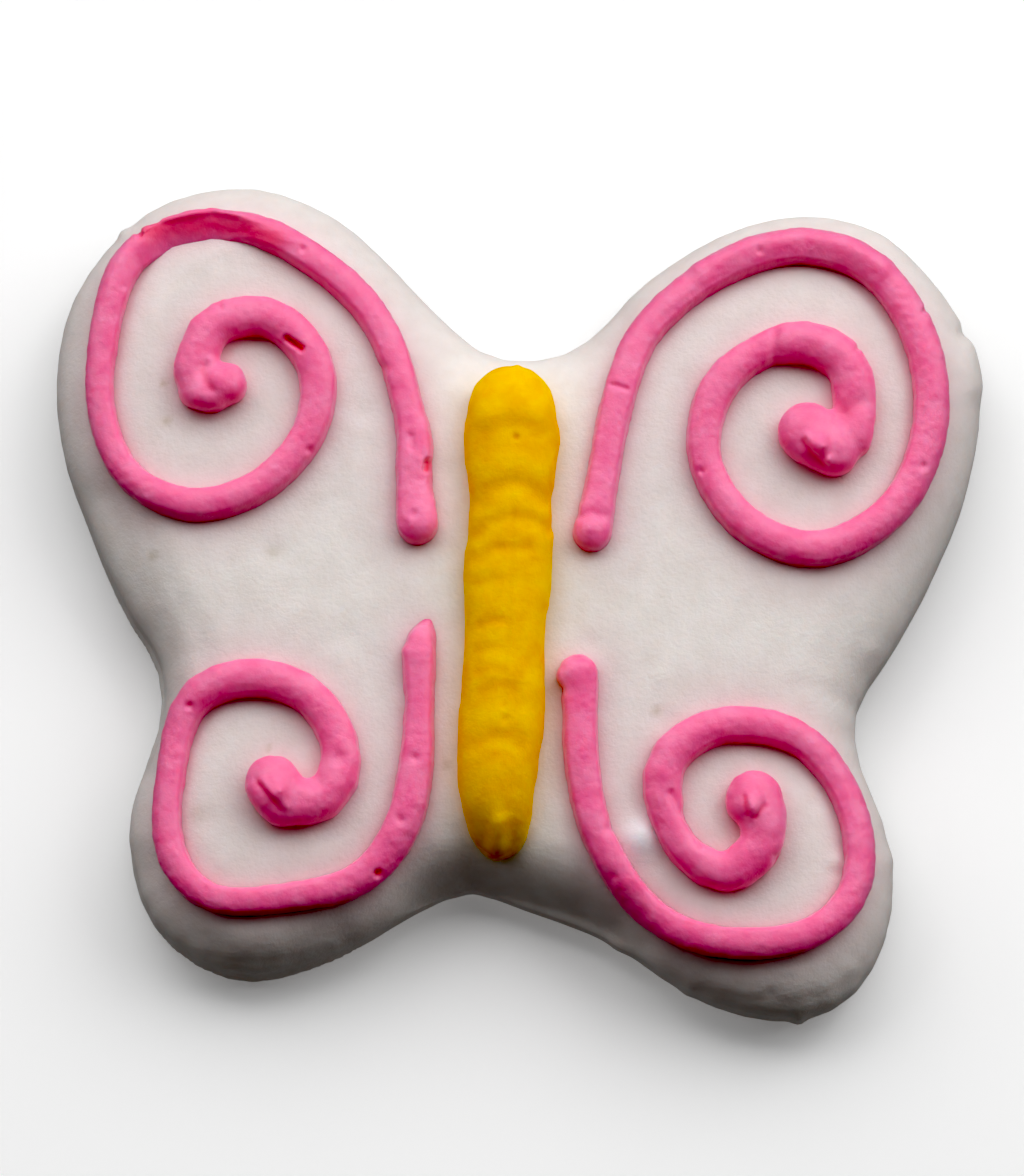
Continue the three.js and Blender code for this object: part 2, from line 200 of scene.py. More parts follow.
BODY_MARKS = {
    "head_crease": ([(484, 434), (498, 423), (516, 419), (530, 422), (543, 429)], 1.0, -0.02),
    "head_left": ([(470, 395)], 1.8, 0.38),
    "head_right": ([(554, 395)], 1.8, 0.38),
    "head_middle": ([(492, 418), (512, 413), (534, 417)], 1.5, 0.28),
    "head_nub": ([(518, 363)], 0.4, 0.35),
    "neck_crease": ([(482, 454), (500, 447), (516, 446), (536, 452)], 0.8, -0.07),
    "neck_pit": ([(516, 437)], 0.3, -0.25),
    "waist_crease": ([(480, 503), (490, 490), (513, 482), (532, 488), (543, 500)], 0.9, -0.17),
    "chest_crease": ([(475, 535), (488, 522), (511, 516), (535, 519), (549, 529)], 0.8, -0.15),
    "second_crease": ([(474, 560), (488, 551), (502, 548), (527, 548)], 0.7, -0.11),
    "second_crease_spot": ([(500, 548)], 0.6, -0.08),
    "third_crease": ([(476, 584), (490, 579), (504, 579)], 0.6, -0.07),
    "fourth_crease": ([(480, 626), (494, 620), (502, 621)], 0.6, -0.13),
    "fifth_crease": ([(479, 651), (491, 647), (499, 648)], 0.6, -0.07),
    "sixth_crease": ([(478, 672), (490, 667), (500, 669)], 0.6, -0.06),
    "seventh_crease": ([(480, 692), (498, 685), (512, 688)], 0.7, -0.08),
    "belly_pit": ([(505, 719)], 0.5, -0.14),
    "eighth_crease": ([(476, 744), (490, 736), (506, 736), (520, 742)], 0.8, -0.06),
    "ninth_crease": ([(478, 764), (494, 757), (510, 758)], 0.8, -0.03),
    "seam": ([(512, 500), (512, 540), (509, 600), (505, 660), (503, 704)], 0.4, -0.08),
    "finger": ([(499, 822), (497, 850)], 1.1, 0.6),
    "finger_left_side": ([(486, 824), (485, 842)], 0.6, -0.08),
    "finger_right_side": ([(510, 824), (511, 842)], 0.6, -0.08),
    "tail_swell": ([(500, 785), (499, 812)], 2.6, 0.2),
}
SWIRL_MARKS = {
    "upper_left": {
        "top_hole": ([(287, 339), (301, 348)], 0.3, -0.9),
        "lip": ([(134, 229), (146, 224), (162, 214), (186, 210), (216, 205)], 0.5, 0.35),
        "lip_groove": ([(141, 236), (148, 230), (157, 221)], 0.4, -0.3),
        "nick": ([(139, 233)], 0.3, -0.6),
        "lip_pit": ([(214, 205)], 0.3, 0.2),
        "outer_pit": ([(220, 306)], 0.4, -0.3),
        "turn_pit": ([(310, 450)], 0.35, -0.3),
        "mouth_pit": ([(303, 248)], 0.35, -0.3),
        "tail_hole": ([(427, 462), (426, 469)], 0.3, -0.7),
        "tail_dent": ([(411, 436), (412, 447)], 0.4, -0.25),
        "bulb_dent": ([(414, 514)], 0.5, -0.25),
        "bulb_side_dent": ([(405, 524)], 0.5, -0.12),
        "upper_tail_dent": ([(383, 368)], 0.6, -0.2),
        "top_front": ([(243, 232), (270, 240), (300, 252)], 0.6, -0.1),
        "curl_crease": ([(204, 366), (203, 374), (206, 382), (212, 389)], 0.5, -0.16),
        "curl_dome": ([(222, 374)], 1.7, 0.25),
        "curl_side": ([(237, 396)], 1.2, 0.3),
        "curl_fill": ([(198, 392), (214, 388), (231, 390)], 1.3, 0.35),
        "curl_low_fill": ([(199, 401), (215, 402)], 0.9, 0.3),
        "curl_low_left": ([(187, 399)], 1.1, 0.5),
        "tail_side": ([(431, 425), (434, 465), (437, 500)], 1.1, 0.35),
        "curl_end": ([(211, 414)], 0.8, -0.4),
    },
    "upper_right": {
        "tall_top": ([(700, 268), (750, 244), (804, 236), (850, 245), (884, 268)], 0.9, 0.35),
        "left_pit": ([(760, 251)], 0.35, -0.3),
        "right_pit": ([(926, 310)], 0.35, -0.3),
        "low_right_pit": ([(924, 466)], 0.35, -0.3),
        "turn_pit": ([(701, 471)], 0.35, -0.3),
        "inner_pit": ([(859, 347)], 0.35, -0.3),
        "crack": ([(611, 384), (619, 386), (627, 389)], 0.2, -0.3),
        "joint_step": ([(775, 332), (774, 346), (775, 360)], 0.5, -0.25),
        "after_joint": ([(790, 335), (790, 356)], 1.2, 0.15),
        "dent_over_dollop": ([(846, 412), (860, 402)], 1.1, -0.35),
        "dollop": ([(805, 455)], 3.0, 0.2),
        "dollop_fin": ([(808, 437), (820, 449), (831, 461)], 0.5, 0.4),
        "dollop_tip": ([(829, 459)], 0.4, 0.3),
        "dollop_crease": ([(803, 442), (813, 453), (824, 464)], 0.35, -0.15),
        "tail_step": ([(580, 516), (592, 513), (604, 516)], 0.6, -0.25),
        "tail_end": ([(591, 530)], 1.4, 0.2),
    },
    "lower_left": {
        "dollop_crease": ([(256, 780), (264, 790), (273, 800), (281, 811)], 0.3, -0.11),
        "dollop": ([(272, 800)], 2.6, 0.2),
        "dollop_fold": ([(252, 788), (262, 803)], 0.7, 0.2),
        "dollop_fin": ([(263, 781), (270, 788), (279, 797), (287, 807)], 0.35, 0.22),
        "joining_dent": ([(340, 758)], 0.8, -0.25),
        "inner_dent": ([(316, 781)], 0.9, -0.35),
        "tail_dent": ([(415, 758)], 0.5, -0.25),
        "lower_tail_dent": ([(400, 820)], 0.5, -0.25),
        "tail_hole": ([(378, 874)], 0.35, -0.7),
        "outer_pit": ([(189, 706)], 0.35, -0.4),
        "tail_bulge": ([(403, 650)], 0.7, 0.2),
    },
    "lower_right": {
        "start_flat": ([(568, 655), (595, 655)], 0.5, -0.2),
        "start_bulge": ([(557, 676)], 0.7, 0.25),
        "start_notch": ([(559, 690)], 0.5, -0.35),
        "tail_dent": ([(610, 828)], 0.5, -0.25),
        "lower_tail_dent": ([(613, 877)], 0.5, -0.2),
        "turn_groove": ([(672, 794), (680, 808), (690, 822), (704, 846)], 0.45, -0.35),
        "spot": ([(732, 785)], 0.5, -0.1),
        "turn_left": ([(668, 700)], 1.0, 0.25),
        "turn_low": ([(748, 884)], 1.4, 0.3),
        "turn_corner": ([(781, 860)], 0.9, -0.4),
        "petal_left_crease": ([(744, 797), (745, 805), (748, 814)], 0.3, -0.18),
        "petal_right_crease": ([(765, 806), (761, 811), (756, 817)], 0.3, -0.18),
        "dollop_shoulder": ([(737, 811)], 1.1, 0.3),
    },
}
# Painted shade in the pink icing, a deeper red in its holes and creases and under the fold's lip: a path of
# pixels, a width and a share.
PITS = {
    "upper_left": [
        ([(287, 339), (301, 348)], 0.35, 1.0),
        ([(428, 463), (427, 469)], 0.35, 0.9),
        ([(148, 232), (172, 227), (214, 224), (250, 230), (275, 240)], 1.1, 0.6),
        ([(203, 370), (206, 382), (212, 389)], 0.3, 0.35),
    ],
    "upper_right": [([(804, 444), (824, 465)], 0.25, 0.35), ([(848, 408)], 1.2, 0.3)],
    "lower_left": [([(258, 782), (268, 794), (280, 809)], 0.22, 0.35), ([(378, 874)], 0.35, 0.8)],
    "lower_right": [([(744, 797), (748, 814)], 0.25, 0.3), ([(765, 806), (756, 817)], 0.25, 0.35)],
}
# Specks on the white: a pixel, a width and a share.
SPECKS = [
    ((153, 556), 0.5, 0.5),
    ((447, 765), 0.45, 0.5),
    ((167, 421), 0.45, 0.5),
    ((656, 711), 0.5, 0.5),
    ((164, 383), 0.3, 0.7),
    ((268, 748), 0.3, 0.6),
    ((197, 813), 0.9, 0.25),
    ((272, 552), 0.7, 0.3),
]
# The upper left bead is folded along this path of pixels, and slumps in front of it.
FOLD = [(142, 234), (150, 226), (162, 218), (186, 213), (214, 208), (240, 214), (252, 220)]
# Where a bead is rounder than elsewhere: a path of pixels, a width and the rounds of smoothing.
SOFT = {
    "upper_left": [([(160, 255), (210, 243), (250, 245)], 1.0, 30), ([(215, 380)], 2.6, 50)],
    "upper_right": [([(803, 455)], 3.0, 60)],
    "lower_left": [([(265, 800), (300, 815)], 2.6, 60)],
    "lower_right": [([(750, 815)], 2.0, 30), ([(735, 875), (775, 865), (788, 840)], 1.6, 60)],
}
# Points left where the nozzle was pulled away: the pixels of the foot and the tip, their heights
# above the table and the radius at the foot.
PEAKS = {
    "upper_left": [((212, 364), 13.2, (206, 356), 14.0, 0.7)],
    "upper_right": [],
    "lower_left": [],
    "lower_right": [((758, 796), 13.9, (752, 819), 14.9, 0.8)],
}


def sight_line(pixel):
    """Direction from the eye through a pixel of the photograph's frame."""
    right = (pixel[0] - PHOTO_SIZE[0] / 2) / PIXELS_PER_MM
    rise = (PHOTO_SIZE[1] / 2 - pixel[1]) / PIXELS_PER_MM
    return (RIGHT * right + UP * rise - BACK * CAMERA_DISTANCE).normalized()


def point_over(pixel, height):
    """The point at a height above the table that falls on a pixel."""
    along = sight_line(pixel)
    return EYE + along * ((height - EYE.z) / along.z)


def pixels_of(points):
    """Where points in millimetres fall in the photograph's frame."""
    away = points - np.array(EYE)
    scale = PIXELS_PER_MM * CAMERA_DISTANCE / -(away @ np.array(BACK))
    across = PHOTO_SIZE[0] / 2 + scale * (away @ np.array(RIGHT))
    down = PHOTO_SIZE[1] / 2 - scale * (away @ np.array(UP))
    return np.column_stack([across, down])


# ---- Shaping ----

def smoothstep(low, high, value):
    """0 up to low, 1 from high, and a soft rise between them."""
    t = np.clip((value - low) / (high - low), 0, 1)
    return t * t * (3 - 2 * t)


HASH_STEPS = np.array([73856093, 19349663, 83492791])  # odd numbers that scatter neighbouring cells
HASH_ODD = 668265263
HASH_MIX = 1274126177
HASH_MASK = 0x7FFFFFFF
HASH_HALF = 0x3FFFFFFF


def lumps(points, size, seed):
    """Smooth noise from -1 to 1, with lumps of about the given size."""
    cells = points / size
    corner = np.floor(cells).astype(np.int64)
    within = cells - corner
    within = within * within * (3 - 2 * within)
    total = np.zeros(len(points))
    for step in product((0, 1), repeat=3):
        mixed = (corner + step) @ HASH_STEPS + seed * HASH_ODD
        mixed = ((mixed ^ (mixed >> 13)) * HASH_MIX) & HASH_MASK
        mixed = ((mixed ^ (mixed >> 15)) * HASH_ODD) & HASH_MASK
        weight = np.prod(np.where(step, within, 1 - within), axis=1)
        total += weight * (mixed / HASH_HALF - 1)
    return total


def relief(points, layers, seed=0):
    """Lumps in layers, each with a height, a size and a seed of its own."""
    return sum(height * lumps(points, size, seed + own_seed) for height, size, own_seed in layers)


def distance_to_path(pixels, path):
    """Distance in millimetres from pixels to a path of one or more pixels."""
    nearest = np.full(len(pixels), np.inf)
    stops = path if len(path) > 1 else path * 2
    for start, end in zip(stops, stops[1:]):
        start, along = np.array(start), np.subtract(end, start)
        share = np.clip((pixels - start) @ along / max(along @ along, 1e-9), 0, 1)
        gap = pixels - start - share[:, None] * along
        nearest = np.minimum(nearest, np.hypot(gap[:, 0], gap[:, 1]))
    return nearest / PIXELS_PER_MM


class Clay:
    """A piece's vertices while they are shaped, in millimetres."""

    def __init__(self, mesh):
        self.mesh = mesh
        self.points = np.empty(3 * len(mesh.vertices))
        mesh.vertices.foreach_get("co", self.points)
        self.points = self.points.reshape(-1, 3)
        edges = np.empty(2 * len(mesh.edges), dtype=np.int32)
        mesh.edges.foreach_get("vertices", edges)
        self.ends = np.concatenate([edges[0::2], edges[1::2]])
        self.others = np.concatenate([edges[1::2], edges[0::2]])
        self.counts = np.bincount(self.ends, minlength=len(self.points))
        self.update()

    def update(self):
        """Gives the mesh the present points and reads its normals."""
        self.mesh.vertices.foreach_set("co", self.points.ravel())
        self.mesh.update()
        self.normals = np.empty(self.points.size)
        self.mesh.vertices.foreach_get("normal", self.normals)
        self.normals = self.normals.reshape(-1, 3)

    def tree(self):
        """The surface as it is now, for finding distances to it."""
        polygons = [tuple(p.vertices) for p in self.mesh.polygons]
        return BVHTree.FromPolygons([Vector(p) for p in self.points], polygons)

    def lift(self, amount):
        """Moves each vertex along its normal."""
        self.points += self.normals * np.asarray(amount).reshape(-1, 1)
        self.update()

    def pull(self, share):
        """Moves vertices a share of the way to the middle of their neighbours."""
        means = [np.bincount(self.ends, self.points[self.others, i], len(self.counts)) for i in range(3)]
        self.points += share * (np.column_stack(means) / self.counts[:, None] - self.points)

    def relax(self, rounds):
        """Smooths facets away: each round evens the surface out and swells it back."""
        for _ in range(rounds):
            self.pull(PULL_IN)
            self.pull(PULL_OUT)
        self.update()

    def soften(self, path, width, rounds):
        """Rounds the surface off near a path of pixels."""
        share = SOFTENING * np.exp(-((distance_to_path(pixels_of(self.points), path) / width) ** 2))
        for _ in range(rounds):
            self.pull(share[:, None])
        self.update()

    def near(self, path, width):
        """How much each vertex that faces the eye belongs to a mark along a path of pixels."""
        facing = smoothstep(*FACING_PART, self.normals @ np.array(BACK))
        return facing * np.exp(-((distance_to_path(pixels_of(self.points), path) / width) ** 2))

    def press(self, marks):
        """Lifts or dents the surface by marks: a path of pixels, a width and a lift."""
        total = np.zeros(len(self.points))
        for path, width, lift in marks.values():
            total += lift * self.near(path, width)
        self.lift(total)
        self.relax(PRESSED_ROUNDS)

    def store(self, name, values):
        """Keeps a value for each vertex as a layer that the materials read."""
        layer = self.mesh.attributes.new(name, "FLOAT", "POINT")
        layer.data.foreach_set("value", np.ascontiguousarray(values, dtype=np.float32))


def evaluated(mesh, *modifiers):
    """A mesh after modifiers, each given as its kind and its settings."""
    holder = bpy.data.objects.new("holder", mesh)
    bpy.context.scene.collection.objects.link(holder)
    for kind, settings in modifiers:
        modifier = holder.modifiers.new(kind, kind)
        for name, value in settings.items():
            setattr(modifier, name, value)
    graph = bpy.context.evaluated_depsgraph_get()
    result = bpy.data.meshes.new_from_object(holder.evaluated_get(graph))
    bpy.data.objects.remove(holder)
    return result


def remeshed(mesh, voxel):
    """A mesh as one skin of even quads, a voxel wide."""
    return evaluated(mesh, ("REMESH", {"mode": "VOXEL", "voxel_size": voxel, "use_smooth_shade": True}))


def node_mesh(node):
    """A CAD node's mesh in millimetres, as one closed surface."""
    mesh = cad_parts[node].data.copy()
    mesh.transform(Matrix.Scale(1 / MM, 4))
    return evaluated(mesh, ("WELD", {"merge_threshold": WELD_GAP}))


def merged(meshes, voxel):
    """Meshes that reach into each other as one fine surface."""
    points, faces = [], []
    for mesh in meshes:
        start = len(points)
        points += [v.co[:] for v in mesh.vertices]
        faces += [[start + i for i in p.vertices] for p in mesh.polygons]
    joined = bpy.data.meshes.new("joined")
    joined.from_pydata(points, [], faces)
    return remeshed(joined, voxel)


def peak(foot, tip, radius):
    """A closed point from a foot to a tip, a little fuller than a cone."""
    axis = tip - foot
    turn = axis.to_track_quat("Z", "Y")
    points, faces = [], []
    sides = len(TURNS)
    for ring in range(PEAK_RINGS):
        share = ring / PEAK_RINGS
        reach = radius * (1 - share) ** PEAK_FULLNESS
        middle = foot + axis * share
        points += [middle + turn @ Vector((reach * math.cos(a), reach * math.sin(a), 0)) for a in TURNS]
        if ring:
            low, high = (ring - 1) * sides, ring * sides
            for i in range(sides):
                after = (i + 1) % sides
                faces.append((low + i, low + after, high + after, high + i))
    last = (PEAK_RINGS - 1) * sides
    points.append(tip)
    faces += [(last + i, last + (i + 1) % sides, len(points) - 1) for i in range(sides)]
    faces.append(tuple(reversed(range(sides))))
    mesh = bpy.data.meshes.new("peak")
    mesh.from_pydata(points, [], faces)
    return mesh


def finish(clay, name, material, node):
    """Turns shaped clay into a piece in metres that replaces its CAD node."""
    clay.points *= MM
    clay.update()
    clay.mesh.materials.clear()
    clay.mesh.materials.append(material)
    clay.mesh.shade_smooth()
    piece = bpy.data.objects.new(name, clay.mesh)
    bpy.context.scene.collection.objects.link(piece)
    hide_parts(node)
    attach(piece, "root")


# ---- Materials ----

PATCH_SIZE = 2.4  # of the soft patches of colour, in millimetres
GRAINS = [(0.5, 0.05), (0.2, 0.02)]  # the size and height of the grain, coarse and fine


def new_material(name):
    """A material with its nodes, its links and its shader."""
    material = bpy.data.materials.new(name)
    material.use_nodes = True
    nodes = material.node_tree.nodes
    return material, nodes, material.node_tree.links, nodes["Principled BSDF"]


def add_noise(nodes, links, size, detail):
    """A noise node over the object's own coordinates, with features of a size in millimetres."""
    place = nodes.new("ShaderNodeTexCoord")
    noise = nodes.new("ShaderNodeTexNoise")
    noise.inputs["Scale"].default_value = 1 / (size * MM)
    noise.inputs["Detail"].default_value = detail
    links.new(place.outputs["Object"], noise.inputs["Vector"])
    return noise.outputs["Fac"]


def add_bump(nodes, links, shader, sources):
    """Bumps the shader by noises, each with the height of its relief in millimetres."""
    below = None
    for noise, height in sources:
        bump = nodes.new("ShaderNodeBump")
        bump.inputs["Distance"].default_value = height * MM
        links.new(noise, bump.inputs["Height"])
        if below:
            links.new(below.outputs["Normal"], bump.inputs["Normal"])
        below = bump
    links.new(below.outputs["Normal"], shader.inputs["Normal"])


def add_ramp(nodes, links, factor, stops):
    """Colours by a factor, between stops of a position and a colour."""
    ramp = nodes.new("ShaderNodeValToRGB")
    elements = ramp.color_ramp.elements
    for position, colour in stops[1:-1]:
        elements.new(position)
    for element, (position, colour) in zip(elements, stops):
        element.position = position
        element.color = (*colour, 1)
    links.new(factor, ramp.inputs["Fac"])
    return ramp.outputs["Color"]


def add_stain_or_painted_light(nodes, links, colour, layer, stain_or_painted_light):
    """Mixes a colour in where the mesh's layer says: real stains, and also painted shade and a painted
    highlight.
    """
    attribute = nodes.new("ShaderNodeAttribute")
    attribute.attribute_name = layer
    mix = nodes.new("ShaderNodeMix")
    mix.data_type = "RGBA"
    links.new(attribute.outputs["Fac"], mix.inputs["Factor"])
    links.new(colour, mix.inputs["A"])
    mix.inputs["B"].default_value = (*stain_or_painted_light, 1)
    return mix.outputs["Result"]


def icing_material(name, shades, stains_and_painted_light, roughness, gloss, softness, radius, sheen=0):
    """Dried icing: shades in soft patches, stains and painted light from the mesh's layers, fine grain and
    some light let through.
    """
    material, nodes, links, shader = new_material(name)
    patches = add_noise(nodes, links, PATCH_SIZE, 4)
    colour = add_ramp(nodes, links, patches, shades)
    for layer, stain_or_painted_light in stains_and_painted_light:
        colour = add_stain_or_painted_light(nodes, links, colour, layer, stain_or_painted_light)
    links.new(colour, shader.inputs["Base Color"])
    grains = [(add_noise(nodes, links, size, 2), height) for size, height in GRAINS]
    add_bump(nodes, links, shader, grains)
    shader.inputs["Roughness"].default_value = roughness
    shader.inputs["Specular IOR Level"].default_value = gloss
    shader.inputs["Sheen Weight"].default_value = sheen
    shader.inputs["Subsurface Weight"].default_value = softness
    shader.inputs["Subsurface Radius"].default_value = radius
    shader.inputs["Subsurface Scale"].default_value = MM
    return material


white = icing_material(
    "white_icing",
    [(0.36, (0.82, 0.77, 0.735)), (0.64, (0.86, 0.815, 0.785))],
    # The tinges are a tint with painted shade beside the piped icing, and the blister's layer is a painted
    # highlight; the runs and specks are the icing's own colour.
    [("pink_tint_and_shade", (0.6, 0.42, 0.45)), ("yellow_tint_and_shade", (0.7, 0.45, 0.28)), ("painted_highlight", (0.9, 0.9, 0.95)),
     ("pink_run", (0.9, 0.36, 0.46)), ("yellow_run", (0.9, 0.6, 0.2)), ("speck", (0.5, 0.42, 0.3))],
    roughness=0.5, gloss=0.4, softness=0.5, radius=(1.6, 1.2, 1.0))
pink = icing_material(
    "pink_icing",
    [(0.33, (0.98, 0.17, 0.37)), (0.5, (1.0, 0.21, 0.41)), (0.68, (1.0, 0.25, 0.45))],
    # foot and pit are painted shade: darker red towards the beads' feet, in holes and creases and under the
    # fold's lip.
    [("foot", (0.82, 0.015, 0.07)), ("pit", (0.86, 0.05, 0.13))],
    roughness=0.5, gloss=0.55, softness=0.5, radius=(1.6, 0.2, 0.3), sheen=0.3)
yellow = icing_material(
    "yellow_icing",
    [(0.33, (0.86, 0.47, 0.0)), (0.5, (0.89, 0.525, 0.0)), (0.68, (0.92, 0.58, 0.0))],
    # crease, foot and pit are painted shade: darker in the creases, towards the foot and in the neck pit.
    [("crease", (0.8, 0.36, 0.0)), ("foot", (0.82, 0.4, 0.0)), ("pit", (0.7, 0.3, 0.0))],
    roughness=0.55, gloss=0.25, softness=0.6, radius=(2.2, 1.6, 0.3))
baked = icing_material(
    "baked_dough",
    [(0.35, (0.5, 0.25, 0.08)), (0.65, (0.64, 0.4, 0.17))],
    [],
    roughness=0.85, gloss=0.3, softness=0.0, radius=(1, 1, 1))


# ---- The icing coat ----

def notch_drop(points):
    """How much the top slopes down towards the notch between the lower wings."""
    across, down = pixels_of(points).T
    columns, rows = np.array(NOTCH).T
    inside = (np.interp(across, columns, rows) - down) / PIXELS_PER_MM
    beside = np.minimum(across - columns[0], columns[-1] - across) / PIXELS_PER_MM
    return NOTCH_DROP * smoothstep(0, NOTCH_SIDE, beside) * (1 - np.clip(inside / NOTCH_REACH, 0, 1)) ** 2


def sideways(clay):
    """The level directions in which the sides of a piece face, and nothing on its top and base."""
    level = clay.normals * (1, 1, 0)
    reach = np.linalg.norm(level, axis=1)
    side = smoothstep(*LEVEL_PART, reach) * smoothstep(*RISING_PART, clay.normals[:, 2])
    return level * (side / np.maximum(reach, LEAST_LEVEL_PART))[:, None]


icing = Clay(remeshed(node_mesh("icing"), ICING_VOXEL))
icing.relax(ICING_ROUNDS)
icing.points += FOOT_FLARE * sideways(icing) * (1 - smoothstep(*FOOT_HEIGHTS, icing.points[:, 2]))[:, None]
icing.update()
icing_tree = icing.tree()
icing.points[:, 2] -= notch_drop(icing.points) * smoothstep(*NOTCH_HEIGHTS, icing.points[:, 2])
icing.update()


def height_over_icing(points):
    """Height of points above the icing's top surface."""
    down = Vector((0, 0, -1))
    heights = np.empty(len(points))
    for i, (x, y, z) in enumerate(points):
        hit = icing_tree.ray_cast(Vector((x, y, OVER_ALL)), down)[0]
        heights[i] = z - hit.z if hit else 1
    return heights


# ---- The piped pieces ----

def piped(node, additions=(), voxel=PIPED_VOXEL, rounds=PIPED_ROUNDS):
    """A piped piece without its facets, joined with additions and sunk a little into the icing."""
    clay = Clay(remeshed(node_mesh(node), voxel))
    clay.relax(rounds)
    smooth = evaluated(clay.mesh, ("SUBSURF", {"levels": 1}))
    clay = Clay(merged([smooth, *additions], MERGED_VOXEL))
    clay.relax(MERGED_ROUNDS)
    clay.above = height_over_icing(clay.points)
    clay.points[:, 2] -= SUNK * (1 - smoothstep(*SUNK_HEIGHTS, clay.above))
    clay.points[:, 2] -= CREST_DROP * smoothstep(*CREST_HEIGHTS, clay.above)
    clay.points += BEAD_FLARE * sideways(clay) * (1 - smoothstep(*FLARE_HEIGHTS, clay.above))[:, None]
    clay.update()
    clay.lift(SWELL)
    return clay


def slump(clay, path, height, reach):
    """Slopes a bead down from a crest along a path of pixels to nothing at a reach in front of it."""
    across, down = pixels_of(clay.points).T
    columns, rows = np.array(path).T
    front = (down - np.interp(across, columns, rows)) / PIXELS_PER_MM
    beside = np.minimum(across - columns[0], columns[-1] - across) / PIXELS_PER_MM
    near = smoothstep(*FOLD_ENDS, beside) * (np.abs(front) < 2 * reach)
    excess = np.maximum(clay.above - height * (1 - front / reach), 0)
    clay.points[:, 2] -= near * smoothstep(*FOLD_EDGE, front) * np.minimum(excess, np.maximum(clay.above, 0))
    clay.update()
    clay.relax(SLUMP_ROUNDS)


def lower_tail(clay):
    """Slopes the body down towards the end of its tail, and brings its foot down to the notch's slope."""
    end = 1 - smoothstep(*TAIL_SLOPE, clay.points[:, 1])
    clay.points[:, 2] -= TAIL_SHARE * end * np.maximum(clay.above, 0)
    clay.points[:, 1] += TAIL_PULL * end**2 * smoothstep(*TAIL_TOP_HEIGHTS, clay.above)
    clay.points[:, 2] -= notch_drop(clay.points) * (1 - smoothstep(*TAIL_FOOT_HEIGHTS, clay.above))
    clay.update()
    clay.relax(TAIL_ROUNDS)


body = piped("piped_body", voxel=BODY_VOXEL, rounds=BODY_ROUNDS)
lower_tail(body)
body.press(BODY_MARKS)
body.lift(relief(body.points, BODY_LUMPS))
# Painted shade on the body: darker in its creases, towards its foot and in the neck pit.
creases = [body.near(path, width) for name, (path, width, lift) in BODY_MARKS.items() if "crease" in name]
body.store("crease", CREASE_SHADE * np.max(creases, axis=0))
body.store("foot", BODY_FOOT_SHADE * (1 - smoothstep(*BODY_FOOT_HEIGHTS, body.above)))
body.store("pit", NECK_PIT_SHADE * body.near(BODY_MARKS["neck_pit"][0], NECK_PIT_WIDTH))
body_tree = body.tree()
finish(body, "piped_yellow_body", yellow, "piped_body")

swirl_trees = []
for seed, (corner, marks) in enumerate(SWIRL_MARKS.items()):
    peaks = [
        peak(point_over(foot, foot_height), point_over(tip, tip_height), radius)
        for foot, foot_height, tip, tip_height, radius in PEAKS[corner]
    ]
    swirl = piped("swirl_" + corner, peaks)
    if corner == "upper_left":
        slump(swirl, FOLD, FOLD_HEIGHT, FOLD_REACH)
    for path, width, rounds in SOFT[corner]:
        swirl.soften(path, width, rounds)
    swirl.press(marks)
    swirl.lift(relief(swirl.points, SWIRL_LUMPS, seed) * smoothstep(*SWIRL_LUMP_HEIGHTS, swirl.above))
    # Painted shade on the beads: a deeper red in holes, creases and under the fold's lip, and darker towards
    # their feet.
    swirl.store("pit", np.max([share * swirl.near(*place) for *place, share in PITS[corner]], axis=0))
    swirl.store("foot", SWIRL_FOOT_SHADE * (1 - smoothstep(*SWIRL_FOOT_HEIGHTS, swirl.above)))
    swirl.points[:, 2] -= notch_drop(swirl.points)
    swirl.update()
    swirl_trees.append(swirl.tree())
    finish(swirl, "pink_swirl_" + corner, pink, "swirl_" + corner)


# ---- The icing's own relief, the colour that ran into it, and the painted shade and highlight on it ----

def distance_from(trees, points, reach):
    """Distance from points to the nearest of some surfaces, up to a reach."""
    distances = np.full(len(points), reach)
    for i, point in enumerate(points):
        for tree in trees:
            gap = tree.find_nearest(Vector(point), distances[i])[3]
            if gap is not None:
                distances[i] = gap
    return distances


def halo(gap, share, reach, power):
    """How much colour lies on the white at a distance from the piped icing: ran colour for the runs, a tint
    with painted shade for the tinges.
    """
    return share * halo_patches * np.exp(-((gap / reach) ** power))


icing.press(ICING_MARKS)
pink_gap = distance_from(swirl_trees, icing.points, HALO_REACH)
yellow_gap = distance_from([body_tree], icing.points, HALO_REACH)
icing.lift(relief(icing.points, ICING_LUMPS))
halo_patches = 1 - HALO_LUMPS[0] + relief(icing.points, [HALO_LUMPS])
icing.store("speck", np.max([share * icing.near([pixel], width) for pixel, width, share in SPECKS], axis=0))
# A painted highlight on the blister.
icing.store("painted_highlight", BLISTER_HIGHLIGHT * icing.near(ICING_MARKS["blister"][0], BLISTER_WIDTH))
icing.store("pink_run", halo(pink_gap, *PINK_RUN))
# The tinges: a tint with painted shade beside the piped icing.
icing.store("pink_tint_and_shade", halo(pink_gap, *PINK_TINT_AND_SHADE) * smoothstep(*AWAY_FROM_BODY, yellow_gap))
icing.store("yellow_run", halo(yellow_gap, *YELLOW_RUN))
icing.store("yellow_tint_and_shade", halo(yellow_gap, *YELLOW_TINT_AND_SHADE))
finish(icing, "white_icing_coat", white, "icing")

biscuit = Clay(remeshed(node_mesh("biscuit"), BISCUIT_VOXEL))
biscuit.relax(BISCUIT_ROUNDS)
biscuit.points[:, 2] = np.maximum(biscuit.points[:, 2], 0)
finish(biscuit, "baked_biscuit", baked, "biscuit")


# ---- Floor, light and camera ----

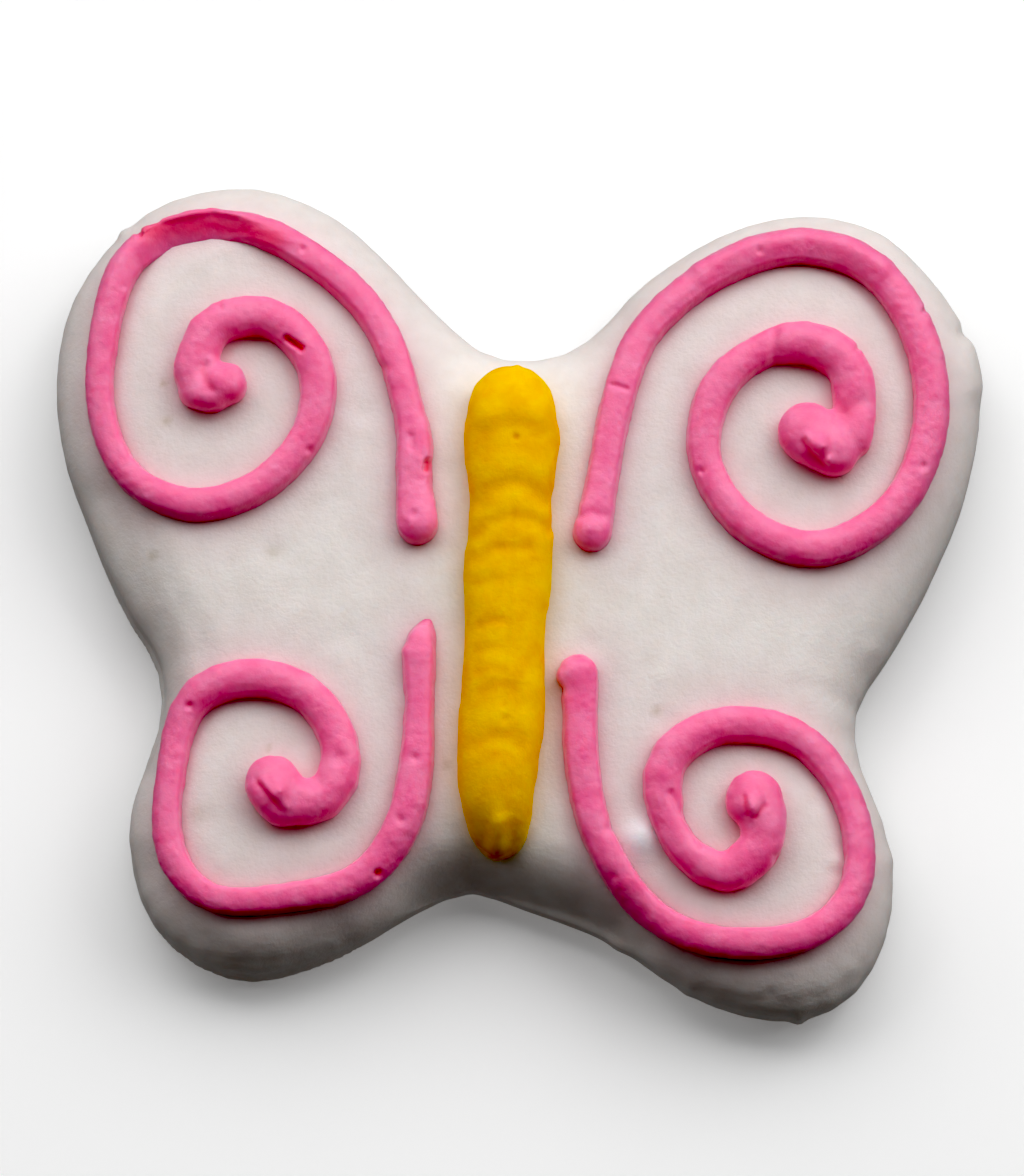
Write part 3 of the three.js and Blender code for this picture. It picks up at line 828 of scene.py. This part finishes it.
def add_floor():
    """A plain pale floor. What a table throws back at the cookie comes from table_bounce instead,
    which shines up through it."""
    bpy.ops.mesh.primitive_plane_add(size=FLOOR_SIZE * MM)
    floor = bpy.context.object
    floor.name = "floor"
    material, _, _, shader = new_material("floor")
    shader.inputs["Base Color"].default_value = FLOOR_COLOUR
    shader.inputs["Roughness"].default_value = 1
    shader.inputs["Specular IOR Level"].default_value = 0
    shader.inputs["Emission Color"].default_value = (1, 1, 1, 1)
    shader.inputs["Emission Strength"].default_value = FLOOR_GLOW
    floor.data.materials.append(material)
    floor.visible_diffuse = False
    floor.visible_glossy = False
    floor.visible_shadow = False


def add_softbox(name, azimuth, elevation, size, power):
    """A softbox that faces the cookie, in degrees, millimetres and watts."""
    light = bpy.data.lights.new(name, "AREA")
    light.shape = "RECTANGLE"
    light.size, light.size_y = size[0] * MM, size[1] * MM
    light.energy = power
    box = bpy.data.objects.new(name, light)
    bpy.context.scene.collection.objects.link(box)
    turn, rise = math.radians(azimuth), math.radians(elevation)
    level = math.cos(rise)
    towards = Vector((level * math.sin(turn), level * math.cos(turn), math.sin(rise)))
    box.location = towards * SOFTBOX_DISTANCE * MM
    box.rotation_euler = towards.to_track_quat("Z", "Y").to_euler()


def add_world():
    """A dim, even room."""
    world = bpy.data.worlds.new("room")
    bpy.context.scene.world = world
    world.use_nodes = True
    grey = (ROOM_BRIGHTNESS, ROOM_BRIGHTNESS, ROOM_BRIGHTNESS, 1)
    world.node_tree.nodes["Background"].inputs["Color"].default_value = grey


def add_camera():
    """The photograph's camera."""
    data = bpy.data.cameras.new("camera")
    data.sensor_width = SENSOR
    data.lens = LENS
    data.clip_start, data.clip_end = CLIP_RANGE
    camera = bpy.data.objects.new("camera", data)
    bpy.context.scene.collection.objects.link(camera)
    camera.location = EYE * MM
    camera.rotation_euler = BACK.to_track_quat("Z", "Y").to_euler()
    bpy.context.scene.camera = camera


def develop_picture():
    """Plain colours with the photograph's deep blacks."""
    settings = bpy.context.scene.view_settings
    settings.view_transform = "Standard"
    settings.use_curve_mapping = True
    settings.curve_mapping.black_level = (BLACK_LEVEL, BLACK_LEVEL, BLACK_LEVEL)


add_floor()
for name, settings in SOFTBOXES.items():
    add_softbox(name, *settings)
add_world()
add_camera()
develop_picture()
